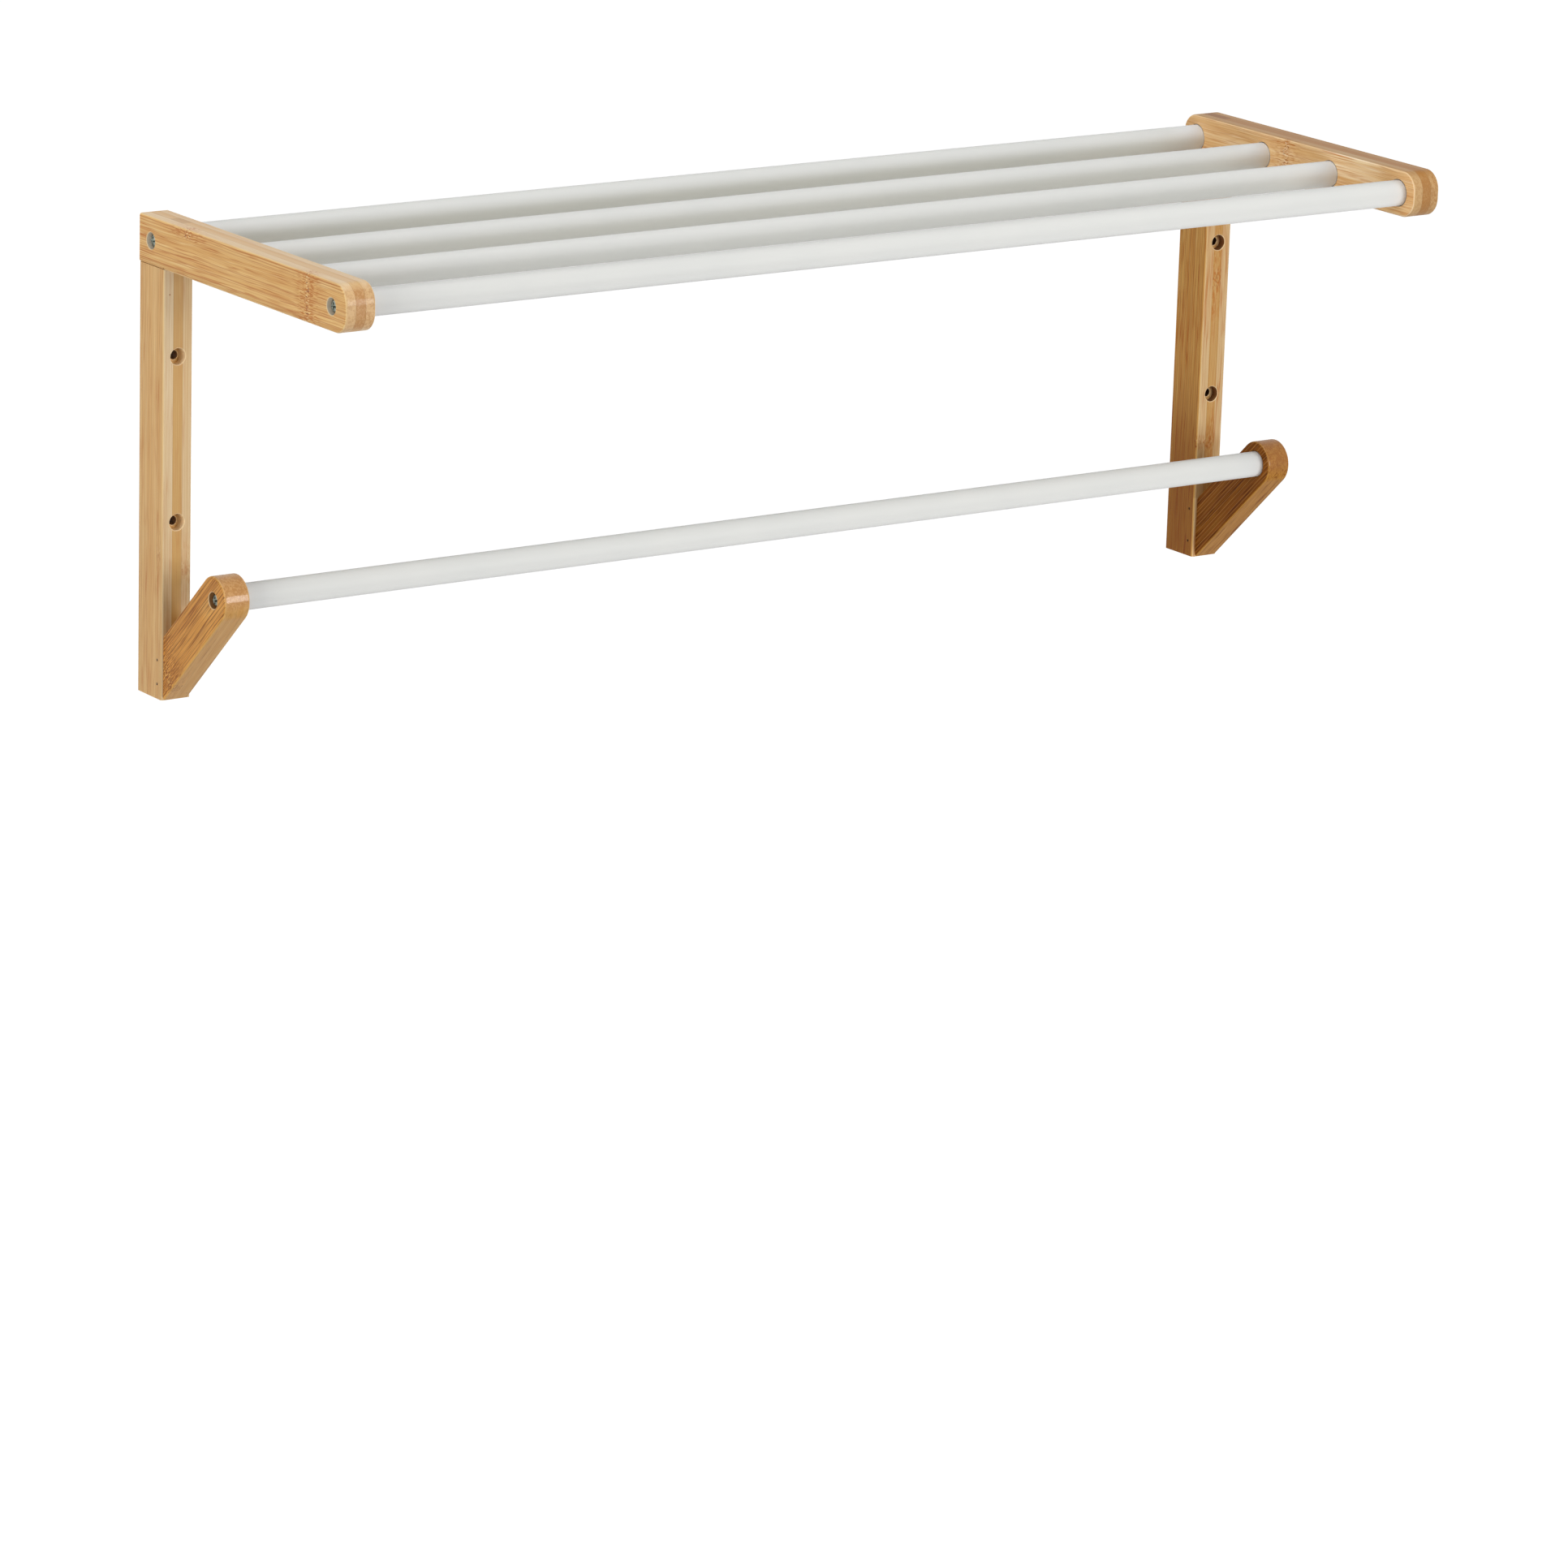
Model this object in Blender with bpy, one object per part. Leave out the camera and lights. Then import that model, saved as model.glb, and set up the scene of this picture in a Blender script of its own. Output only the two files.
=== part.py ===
"""Wall-mounted towel rack: two bamboo side frames joined by five white tubes.

The wall is the plane Y = 0 and the rack stands out from it towards -Y. X runs along the
rods, with 0 at mid width, and Z is up, with 0 at the lower ends of the uprights.
"""
import math

import bmesh
import bpy
from mathutils import Vector

# Driving dimensions, in metres
overall_width = 0.600
overall_height = 0.220
shelf_depth = 0.179

# Bamboo bar stock: every arm, upright and hook is cut from it
bar_thickness = 0.015
bar_width = 0.022
edge_ease = 0.0011
arm_end_radius = 0.009

# Rods: white coated tubes
rod_diameter = 0.0123
rod_wall = 0.0010
rod_end_chamfer = 0.0003
shelf_rod_count = 4
rear_rod_setback = 0.010
front_rod_setback = 0.0124
towel_rod_setback = 0.066
towel_rod_height = 0.0564
socket_depth = 0.0055

# Hooks, planed thinner than the bars they are glued to
hook_thickness = 0.013
left_hook_inset = 0.0010
right_hook_inset = 0.0002

# Holes for the screws that go into the wall
upper_wall_hole_drop = 0.062
wall_hole_spacing = 0.076
wall_counterbore_diameter = 0.0076
wall_counterbore_depth = 0.0042
wall_hole_diameter = 0.0042

# Screws that hold the rods, and the plugs that they bite into
rod_counterbore_diameter = 0.0076
rod_counterbore_depth = 0.0040
screw_head_diameter = 0.0066
screw_head_height = 0.0017
screw_crown_height = 0.0006
crown_top_share = 0.62
crown_shoulder_share = 0.88
screw_shank_diameter = 0.0035
screw_length = 0.018
screw_point_length = 0.0035
recess_span = 0.0038
recess_blade = 0.0009
recess_depth = 0.0011
recess_taper_share = 0.55
plug_length = 0.018
plug_chamfer = 0.0005

# Dowels between upright and arm, and brads between upright and hook
dowel_diameter = 0.004
dowel_length = 0.018
dowel_chamfer = 0.0005
dowel_front_margin = 0.0048
dowel_outer_margin = 0.0055
brad_diameter = 0.0008
brad_length = 0.0115
brad_sink = 0.0005
brad_front_margin = 0.004
brad_slant = math.radians(45)
left_brad_height_shares = (0.60, 0.23)
right_brad_height_shares = (0.79, 0.25)

# Clearances
fit_gap = 0.0003
glue_gap = 0.0002
cut_overrun = 0.002
weld_distance = 0.000002

# Facets per full turn
rod_facets = 32
hole_facets = 28
small_facets = 16
brad_facets = 8
corner_steps = 7

# Sizes worked out from the ones above
arm_underside = overall_height - bar_width
shelf_rod_height = overall_height - bar_width / 2
shelf_rod_pitch = (shelf_depth - rear_rod_setback - front_rod_setback) / (shelf_rod_count - 1)
upright_top = arm_underside - glue_gap
hook_back = -bar_width - glue_gap
rod_radius = rod_diameter / 2
tube_bore_radius = rod_radius - rod_wall
socket_radius = rod_radius + fit_gap
screw_hole_radius = screw_shank_diameter / 2 + fit_gap


def clear_scene():
    """Start from an empty scene."""
    for item in list(bpy.data.objects):
        bpy.data.objects.remove(item, do_unlink=True)


def finish(name, colour, roughness, metallic=0.0):
    """A plain Principled material."""
    material = bpy.data.materials.new(name)
    material.use_nodes = True
    shader = material.node_tree.nodes["Principled BSDF"]
    shader.inputs["Base Color"].default_value = (*colour, 1.0)
    shader.inputs["Roughness"].default_value = roughness
    shader.inputs["Metallic"].default_value = metallic
    material.diffuse_color = (*colour, 1.0)
    return material


def bamboo(name):
    return finish(name + "_bamboo", (0.61, 0.38, 0.16), 0.5)


def beech(name):
    return finish(name + "_beech", (0.64, 0.45, 0.27), 0.6)


def white_coat(name):
    return finish(name + "_white_coat", (0.75, 0.75, 0.72), 0.35)


def zinc(name):
    return finish(name + "_zinc", (0.62, 0.63, 0.62), 0.3, 1.0)


def nylon(name):
    return finish(name + "_nylon", (0.55, 0.55, 0.52), 0.45)


def cutter_grey(name):
    return finish(name + "_cutter", (0.5, 0.5, 0.5), 0.5)


def add_piece(name, shape, material, parent, place=(0.0, 0.0, 0.0)):
    """Turn a bmesh into a named object at its place under its parent."""
    bmesh.ops.recalc_face_normals(shape, faces=shape.faces)
    mesh = bpy.data.meshes.new(name)
    shape.to_mesh(mesh)
    shape.free()
    mesh.shade_smooth()
    mesh.set_sharp_from_angle(angle=math.radians(35))
    mesh.materials.append(material)
    piece = bpy.data.objects.new(name, mesh)
    bpy.context.scene.collection.objects.link(piece)
    piece.parent = parent
    piece.location = place
    return piece


def add_empty(name, parent=None):
    """A parent that holds the pieces of one sub-assembly."""
    empty = bpy.data.objects.new(name, None)
    bpy.context.scene.collection.objects.link(empty)
    empty.parent = parent
    return empty


def arc(centre, radius, start, end, steps):
    """Points along an arc in the YZ plane, from the angle start to the angle end."""
    turn = (end - start) / steps
    angles = [start + turn * step for step in range(steps + 1)]
    return [(centre[0] + radius * math.cos(a), centre[1] + radius * math.sin(a)) for a in angles]


def inset_outline(outline, distance, sawn_sides):
    """Move the sides of a convex outline inwards by a distance, all but the sawn ones."""
    count = len(outline)
    sides = []
    for index, point in enumerate(outline):
        start = Vector(point)
        along = (Vector(outline[(index + 1) % count]) - start).normalized()
        inward = Vector((-along.y, along.x))
        if index not in sawn_sides:
            start += inward * distance
        sides.append((start, along))
    moved = []
    for index in range(count):
        before, before_along = sides[index - 1]
        after, after_along = sides[index]
        reach = (after - before).cross(after_along) / before_along.cross(after_along)
        moved.append(tuple(before + before_along * reach))
    return moved


def skin_rings(shape, rings, closed=False):
    """Join rings of points with quads, and cap the two ends unless they meet."""
    corners = [[shape.verts.new(point) for point in ring] for ring in rings]
    pairs = list(zip(corners, corners[1:]))
    if closed:
        pairs.append((corners[-1], corners[0]))
    for near, far in pairs:
        for index in range(len(near)):
            following = (index + 1) % len(near)
            shape.faces.new((near[index], near[following], far[following], far[index]))
    if not closed:
        shape.faces.new(corners[0])
        shape.faces.new(corners[-1])


def eased_bar(outline, thickness, sawn_sides):
    """A bar with the given YZ outline, from X = 0 to its thickness.

    Its long edges are rounded. The sawn sides are its square-cut ends, whose edges stay sharp.
    """
    quarter_share = 1 - math.cos(math.pi / 4)
    stations = (
        (0, edge_ease),
        (edge_ease * quarter_share, edge_ease * quarter_share),
        (edge_ease, 0),
        (thickness - edge_ease, 0),
        (thickness - edge_ease * quarter_share, edge_ease * quarter_share),
        (thickness, edge_ease),
    )
    shape = bmesh.new()
    rings = []
    for x, inset in stations:
        ring = inset_outline(outline, inset, sawn_sides) if inset else outline
        rings.append([(x, y, z) for y, z in ring])
    skin_rings(shape, rings)
    return shape


def turned(profile, facets, closed=False):
    """Turn (distance along, radius) points about the local Z axis. A closed profile is a ring."""
    shape = bmesh.new()
    angles = [math.tau * step / facets for step in range(facets)]
    rings = []
    for along, radius in profile:
        rings.append([(radius * math.cos(a), radius * math.sin(a), along) for a in angles])
    skin_rings(shape, rings, closed)
    bmesh.ops.remove_doubles(shape, verts=shape.verts, dist=weld_distance)
    return shape


def tube(length, outer_radius, inner_radius, chamfer):
    """A tube along the local Z axis, centred on its origin, with chamfered outer rims."""
    end = length / 2
    profile = (
        (-end, inner_radius),
        (-end, outer_radius - chamfer),
        (chamfer - end, outer_radius),
        (end - chamfer, outer_radius),
        (end, outer_radius - chamfer),
        (end, inner_radius),
    )
    return turned(profile, rod_facets, closed=True)


def aim(piece, direction):
    """Turn a piece so that its local Z axis points along the direction."""
    piece.rotation_mode = "QUATERNION"
    piece.rotation_quaternion = Vector(direction).to_track_quat("Z", "Y")


def use_as_cutter(piece, cutter):
    """Take the cutter's shape out of the piece, and hide the cutter."""
    cutter.hide_render = True
    cutter.display_type = "WIRE"
    cut = piece.modifiers.new(cutter.name, "BOOLEAN")
    cut.operation = "DIFFERENCE"
    cut.object = cutter


def bore(piece, name, start, direction, profile, facets=hole_facets):
    """Cut a turned hole into a piece, from a start point along a direction."""
    cutter = add_piece(name, turned(profile, facets), cutter_grey(name), None, start)
    aim(cutter, direction)
    use_as_cutter(piece, cutter)


def plain_hole(depth, radius):
    """Profile of a blind hole that starts a little outside the face."""
    return ((-cut_overrun, radius), (depth, radius))


def stepped_hole(counterbore_depth, counterbore_radius, hole_end, hole_radius):
    """Profile of a counterbored hole that runs on to hole_end."""
    return (
        (-cut_overrun, counterbore_radius),
        (counterbore_depth, counterbore_radius),
        (counterbore_depth, hole_radius),
        (hole_end, hole_radius),
    )


def rod_hole(thickness):
    """Profile of a screwed rod's hole: counterbore outside, socket inside, screw hole between."""
    socket_floor = thickness - socket_depth
    return (
        (-cut_overrun, rod_counterbore_diameter / 2),
        (rod_counterbore_depth, rod_counterbore_diameter / 2),
        (rod_counterbore_depth, screw_hole_radius),
        (socket_floor, screw_hole_radius),
        (socket_floor, socket_radius),
        (thickness + cut_overrun, socket_radius),
    )


def shelf_rod_places():
    """Y of the shelf rods, from the wall outwards."""
    return [-(rear_rod_setback + shelf_rod_pitch * index) for index in range(shelf_rod_count)]


def arm_outline(rear_rounded):
    """Side view of an arm: both front corners round, the upper rear one only on the right.

    It starts up the rear end, which is a sawn side only where both its corners are square.
    """
    radius = arm_end_radius
    front = -shelf_depth
    low = arm_underside
    high = overall_height
    right_angle = math.pi / 2
    points = [(0, low)]
    if rear_rounded:
        points += arc((-radius, high - radius), radius, 0, right_angle, corner_steps)
    else:
        points += [(0, high)]
    points += arc((front + radius, high - radius), radius, right_angle, math.pi, corner_steps)
    points += arc((front + radius, low + radius), radius, math.pi, 3 * right_angle, corner_steps)
    return points


def hook_corner():
    """Where the hook's lower side meets the upright: its point, and the bar's slope there."""
    corner = Vector((hook_back, 0))
    to_rod = Vector((-towel_rod_setback, towel_rod_height)) - corner
    half_width = bar_width / 2
    slope = math.atan2(to_rod.y, -to_rod.x) - math.asin(half_width / to_rod.length)
    return corner, slope


def hook_glue_height():
    """Height of the hook's upright end, which is glued to the upright."""
    slope = hook_corner()[1]
    return bar_width / math.cos(slope)


def hook_outline():
    """Side view of a hook: a slanting bar with a round end about the towel rod.

    It starts up the end against the upright, which is its one sawn side.
    """
    corner, slope = hook_corner()
    rod = (-towel_rod_setback, towel_rod_height)
    upper_side = math.pi / 2 - slope
    round_end = arc(rod, bar_width / 2, upper_side, upper_side + math.pi, 2 * corner_steps)
    return [tuple(corner), (hook_back, hook_glue_height())] + round_end


def upright_outline():
    """Side view of an upright: up the back, along the top, down the front, back underneath."""
    return [(0, 0), (0, upright_top), (-bar_width, upright_top), (-bar_width, 0)]


def add_bar(name, outline, thickness, sawn_sides, x_low, parent):
    shape = eased_bar(outline, thickness, sawn_sides)
    return add_piece(name, shape, bamboo(name), parent, (x_low, 0, 0))


class Side:
    """One side frame. The sign is -1 on the left and +1 on the right."""

    def __init__(self, name, sign, hook_inset, brad_height_shares):
        self.name = name
        self.sign = sign
        self.outer_x = sign * overall_width / 2
        self.hook_outer_x = self.outer_x - sign * hook_inset
        self.brad_height_shares = brad_height_shares

    def low_x(self, outer_x, thickness):
        """Lowest X of a bar whose outer face lies at outer_x."""
        return min(outer_x, outer_x - self.sign * thickness)

    def inwards(self, x, distance):
        return x - self.sign * distance


def add_arm(side, parent):
    name = side.name + "_arm"
    rear_rounded = side.sign > 0
    sawn_sides = () if rear_rounded else (0,)
    x_low = side.low_x(side.outer_x, bar_thickness)
    arm = add_bar(name, arm_outline(rear_rounded), bar_thickness, sawn_sides, x_low, parent)
    inward = (-side.sign, 0, 0)
    inner_x = side.inwards(side.outer_x, bar_thickness)
    places = shelf_rod_places()
    for index, y in enumerate(places):
        hole_name = f"{name}_hole_{index + 1}"
        if index in (0, shelf_rod_count - 1):
            bore(arm, hole_name, (side.outer_x, y, shelf_rod_height), inward, rod_hole(bar_thickness))
        else:
            outward = (side.sign, 0, 0)
            socket = plain_hole(socket_depth, socket_radius)
            bore(arm, hole_name, (inner_x, y, shelf_rod_height), outward, socket)
    return arm


def dowel_place(side):
    """Middle of the dowel that joins the upright's top to the arm."""
    x = side.inwards(side.outer_x, dowel_outer_margin)
    return Vector((x, dowel_front_margin - bar_width, arm_underside - glue_gap / 2))


def dowel_hole():
    reach = dowel_length / 2 + fit_gap
    radius = dowel_diameter / 2 + fit_gap
    return ((-reach, radius), (reach, radius))


def add_dowel(side, arm, upright, parent):
    """A dowel up the joint, in a hole that runs through both bars."""
    place = dowel_place(side)
    up = (0, 0, 1)
    bore(arm, side.name + "_arm_dowel_hole", place, up, dowel_hole(), small_facets)
    bore(upright, side.name + "_upright_dowel_hole", place, up, dowel_hole(), small_facets)
    half = dowel_length / 2
    radius = dowel_diameter / 2
    profile = (
        (-half, radius - dowel_chamfer),
        (dowel_chamfer - half, radius),
        (half - dowel_chamfer, radius),
        (half, radius - dowel_chamfer),
    )
    name = side.name + "_joint_dowel"
    add_piece(name, turned(profile, small_facets), beech(name), parent, place)


def add_upright(side, parent):
    name = side.name + "_upright"
    x_low = side.low_x(side.outer_x, bar_thickness)
    upright = add_bar(name, upright_outline(), bar_thickness, (1, 3), x_low, parent)
    hole = stepped_hole(
        wall_counterbore_depth,
        wall_counterbore_diameter / 2,
        bar_width + cut_overrun,
        wall_hole_diameter / 2,
    )
    upper = overall_height - upper_wall_hole_drop
    middle_x = side.inwards(side.outer_x, bar_thickness / 2)
    for label, height in (("upper", upper), ("lower", upper - wall_hole_spacing)):
        start = (middle_x, -bar_width, height)
        bore(upright, f"{name}_{label}_hole", start, (0, 1, 0), hole)
    return upright


def add_hook(side, parent):
    name = side.name + "_hook"
    x_low = side.low_x(side.hook_outer_x, hook_thickness)
    hook = add_bar(name, hook_outline(), hook_thickness, (0,), x_low, parent)
    start = (side.hook_outer_x, -towel_rod_setback, towel_rod_height)
    bore(hook, name + "_rod_hole", start, (-side.sign, 0, 0), rod_hole(hook_thickness))
    return hook


def add_brads(side, upright, hook, parent):
    """Headless nails, shot at a slant from the upright's left face into the hook."""
    direction = (math.cos(brad_slant), -math.sin(brad_slant), 0)
    face_x = side.low_x(side.outer_x, bar_thickness)
    radius = brad_diameter / 2
    hole_end = brad_sink + brad_length + fit_gap
    hole = plain_hole(hole_end, radius + fit_gap)
    glue_height = hook_glue_height()
    for index, share in enumerate(side.brad_height_shares):
        name = f"{side.name}_brad_{index + 1}"
        start = (face_x, brad_front_margin - bar_width, glue_height * share)
        bore(upright, name + "_hole_in_upright", start, direction, hole, brad_facets)
        bore(hook, name + "_hole_in_hook", start, direction, hole, brad_facets)
        nail = turned(((brad_sink, radius), (brad_sink + brad_length, radius)), brad_facets)
        brad = add_piece(name, nail, zinc(name), parent, start)
        aim(brad, direction)


def add_rod(name, left_x, right_x, y, z, parent):
    """A tube between its two socket floors."""
    length = right_x - left_x - 2 * fit_gap
    shape = tube(length, rod_radius, tube_bore_radius, rod_end_chamfer)
    rod = add_piece(name, shape, white_coat(name), parent, ((left_x + right_x) / 2, y, z))
    aim(rod, (1, 0, 0))


def add_plug(name, side, floor_x, y, z, parent):
    """A plug in the end of a tube, with the pilot hole that the screw bites into."""
    radius = tube_bore_radius - fit_gap
    pilot_depth = plug_length - screw_shank_diameter / 2
    profile = (
        (pilot_depth, 0),
        (pilot_depth, screw_hole_radius),
        (0, screw_hole_radius),
        (0, radius),
        (plug_length - plug_chamfer, radius),
        (plug_length, radius - plug_chamfer),
        (plug_length, 0),
    )
    start = (side.inwards(floor_x, fit_gap), y, z)
    plug = add_piece(name, turned(profile, small_facets), nylon(name), parent, start)
    aim(plug, (-side.sign, 0, 0))


def screw_profile():
    """Pan head, plain shank and point, from the crown along the screw's axis."""
    head_radius = screw_head_diameter / 2
    shank_radius = screw_shank_diameter / 2
    under_head = screw_head_height
    tip = under_head + screw_length
    return (
        (0, 0),
        (0, head_radius * crown_top_share),
        (screw_crown_height / 2, head_radius * crown_shoulder_share),
        (screw_crown_height, head_radius),
        (under_head, head_radius),
        (under_head, shank_radius),
        (tip - screw_point_length, shank_radius),
        (tip, 0),
    )


def cross_recess():
    """A tapered plus shape that sinks into the screw's crown along the local Z axis."""
    reach = recess_span / 2
    blade = recess_blade / 2
    quadrant = [(reach, -blade), (reach, blade), (blade, blade)]
    outline = []
    for quarter in range(4):
        angle = quarter * math.pi / 2
        for x, y in quadrant:
            turned_x = x * math.cos(angle) - y * math.sin(angle)
            turned_y = x * math.sin(angle) + y * math.cos(angle)
            outline.append((turned_x, turned_y))
    floor = [(x * recess_taper_share, y * recess_taper_share, recess_depth) for x, y in outline]
    shape = bmesh.new()
    skin_rings(shape, [[(x, y, -cut_overrun) for x, y in outline], floor])
    return shape


def add_screw(name, side, face_x, y, z, parent):
    """A rod screw with its head on the floor of the counterbore in the outer face."""
    crown_depth = rod_counterbore_depth - fit_gap - screw_head_height
    start = (side.inwards(face_x, crown_depth), y, z)
    inward = (-side.sign, 0, 0)
    screw = add_piece(name, turned(screw_profile(), small_facets), zinc(name), parent, start)
    aim(screw, inward)
    recess_name = name + "_recess"
    cutter = add_piece(recess_name, cross_recess(), cutter_grey(recess_name), parent, start)
    aim(cutter, inward)
    use_as_cutter(screw, cutter)


def build():
    clear_scene()
    rack = add_empty("rack")
    left = Side("left", -1, left_hook_inset, left_brad_height_shares)
    right = Side("right", 1, right_hook_inset, right_brad_height_shares)
    shelf_floor = {}
    towel_floor = {}
    for side in (left, right):
        frame = add_empty(side.name + "_frame", rack)
        arm = add_arm(side, frame)
        upright = add_upright(side, frame)
        hook = add_hook(side, frame)
        add_dowel(side, arm, upright, frame)
        add_brads(side, upright, hook, frame)
        shelf_floor[side.name] = side.inwards(side.outer_x, bar_thickness - socket_depth)
        towel_floor[side.name] = side.inwards(side.hook_outer_x, hook_thickness - socket_depth)

    rods = add_empty("rods", rack)
    places = shelf_rod_places()
    names = ["shelf_rod_" + str(index + 1) for index in range(shelf_rod_count)]
    for name, y in zip(names, places):
        add_rod(name, shelf_floor["left"], shelf_floor["right"], y, shelf_rod_height, rods)
    towel_place = (-towel_rod_setback, towel_rod_height)
    add_rod("towel_rod", towel_floor["left"], towel_floor["right"], *towel_place, rods)

    for side in (left, right):
        screwed = (
            ("rear", side.outer_x, shelf_floor[side.name], places[0], shelf_rod_height),
            ("front", side.outer_x, shelf_floor[side.name], places[-1], shelf_rod_height),
            ("towel", side.hook_outer_x, towel_floor[side.name], *towel_place),
        )
        for label, face_x, floor_x, y, z in screwed:
            add_plug(f"{side.name}_{label}_rod_plug", side, floor_x, y, z, rods)
            add_screw(f"{side.name}_{label}_rod_screw", side, face_x, y, z, rods)


build()
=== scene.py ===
"""Towel rack: two bamboo side frames, four white shelf rods and a lower towel rod.

The wall is the plane Y = 0 and the rack stands out towards -Y. X runs along the rods and
Z is up, with 0 at the uprights' lower ends. Lengths are in metres.
"""
import math

import bmesh
import bpy
from mathutils import Matrix, Vector


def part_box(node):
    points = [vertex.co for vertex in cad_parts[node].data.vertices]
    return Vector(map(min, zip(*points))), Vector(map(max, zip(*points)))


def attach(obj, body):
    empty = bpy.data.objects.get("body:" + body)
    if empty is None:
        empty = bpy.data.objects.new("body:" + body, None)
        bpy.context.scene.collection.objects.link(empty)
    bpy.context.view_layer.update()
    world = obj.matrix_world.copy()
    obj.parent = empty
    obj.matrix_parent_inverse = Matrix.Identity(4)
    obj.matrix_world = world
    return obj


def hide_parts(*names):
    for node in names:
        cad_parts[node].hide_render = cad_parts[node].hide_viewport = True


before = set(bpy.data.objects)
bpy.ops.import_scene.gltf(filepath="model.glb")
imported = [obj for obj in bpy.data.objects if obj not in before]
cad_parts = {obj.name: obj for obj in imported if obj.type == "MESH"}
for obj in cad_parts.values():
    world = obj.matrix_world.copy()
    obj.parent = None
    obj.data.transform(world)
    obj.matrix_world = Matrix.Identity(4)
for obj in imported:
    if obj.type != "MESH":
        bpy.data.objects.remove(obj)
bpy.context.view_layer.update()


# Uprights
# The two bars that stand against the wall. Each is three plies of bamboo glued side by side,
# planed to 15 by 22 mm, sanded round along its long edges and lacquered. Two counterbored
# holes in its front face take the wall screws, and a dowel ties its top to the arm.
edge_round = 0.0011
edge_steps = 5
joint_closing = 0.00026
mouth_ease = 0.00025
cut_overrun = 0.002
weld_distance = 0.000002
sharp_edge = math.radians(40)
hole_facets = 72
ply_thickness = 0.005
wall_hole_heights = (0.158, 0.082)
wall_counterbore_radius = 0.0038
wall_counterbore_depth = 0.0042
wall_hole_radius = 0.0021
wall_hole_ease = 0.0002
dowel_hole_radius = 0.0023
dowel_hole_reach = 0.0093
brad_hole_radius = 0.00055
brad_hole_depth = 0.0123
brad_slant = math.radians(45)
wall_normal = Vector((0, 1, 0))
upward = Vector((0, 0, 1))
along_rods = Vector((1, 0, 0))


def arc(centre, radius, start, end, steps):
    """Points along an arc in the YZ plane, from the angle start to the angle end."""
    turn = (end - start) / steps
    angles = [start + turn * step for step in range(steps + 1)]
    return [(centre[0] + radius * math.cos(a), centre[1] + radius * math.sin(a)) for a in angles]


def inset_outline(outline, distance, sawn_sides):
    """Move the sides of a convex outline inwards by a distance, all but the sawn ones."""
    count = len(outline)
    sides = []
    for index, point in enumerate(outline):
        start = Vector(point)
        along = (Vector(outline[(index + 1) % count]) - start).normalized()
        inward = Vector((-along.y, along.x))
        if index not in sawn_sides:
            start += inward * distance
        sides.append((start, along))
    moved = []
    for index in range(count):
        before, before_along = sides[index - 1]
        after, after_along = sides[index]
        reach = (after - before).cross(after_along) / before_along.cross(after_along)
        moved.append(tuple(before + before_along * reach))
    return moved


def skin_rings(shape, rings, closed=False):
    """Join rings of points with quads, and cap the two ends unless they meet."""
    corners = [[shape.verts.new(point) for point in ring] for ring in rings]
    pairs = list(zip(corners, corners[1:]))
    if closed:
        pairs.append((corners[-1], corners[0]))
    for near, far in pairs:
        for index in range(len(near)):
            following = (index + 1) % len(near)
            shape.faces.new((near[index], near[following], far[following], far[index]))
    if not closed:
        shape.faces.new(corners[0])
        shape.faces.new(corners[-1])


def as_piece(name, shape, sharp_angle=sharp_edge):
    """Turn a bmesh into a smooth shaded object that keeps its sharp edges."""
    bmesh.ops.remove_doubles(shape, verts=shape.verts, dist=weld_distance)
    bmesh.ops.recalc_face_normals(shape, faces=shape.faces)
    if shape.calc_volume(signed=True) < 0:
        bmesh.ops.reverse_faces(shape, faces=shape.faces)
    mesh = bpy.data.meshes.new(name)
    shape.to_mesh(mesh)
    shape.free()
    mesh.shade_smooth()
    mesh.set_sharp_from_angle(angle=sharp_angle)
    piece = bpy.data.objects.new(name, mesh)
    bpy.context.scene.collection.objects.link(piece)
    return piece


def sanded_bar(name, outline, sawn_sides, x_low, x_high):
    """A bar with the given YZ outline and its long edges sanded round, but not its sawn ends'."""
    angles = [math.pi / 2 * step / edge_steps for step in range(edge_steps + 1)]
    rounding = [(edge_round * (1 - math.sin(a)), edge_round * (1 - math.cos(a))) for a in angles]
    stations = [(x_low + setback, inset) for setback, inset in reversed(rounding)]
    stations += [(x_high - setback, inset) for setback, inset in rounding]
    shape = bmesh.new()
    rings = []
    for x, inset in stations:
        ring = inset_outline(outline, inset, sawn_sides) if inset else outline
        rings.append([(x, y, z) for y, z in ring])
    skin_rings(shape, rings)
    return as_piece(name, shape)


def circle(radius, along, facets):
    """Points of a circle round the Z axis, at a distance along it."""
    angles = [math.tau * step / facets for step in range(facets)]
    return [(radius * math.cos(a), radius * math.sin(a), along) for a in angles]


def turned(profile, facets, closed=False):
    """Turn (distance along, radius) points about the Z axis. A closed profile is a ring."""
    shape = bmesh.new()
    skin_rings(shape, [circle(radius, along, facets) for along, radius in profile], closed)
    return shape


def placed(shape, start, direction):
    """Move a turned shape so that it starts at a point and runs along a direction."""
    turn = Vector(direction).to_track_quat("Z", "Y").to_matrix().to_4x4()
    bmesh.ops.transform(shape, matrix=Matrix.Translation(start) @ turn, verts=shape.verts)
    return shape


def blind_hole(depth, radius):
    """Profile of a blind hole with an eased mouth."""
    mouth = radius + mouth_ease
    return ((-cut_overrun, mouth), (0, mouth), (mouth_ease, radius), (depth, radius))


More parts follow.
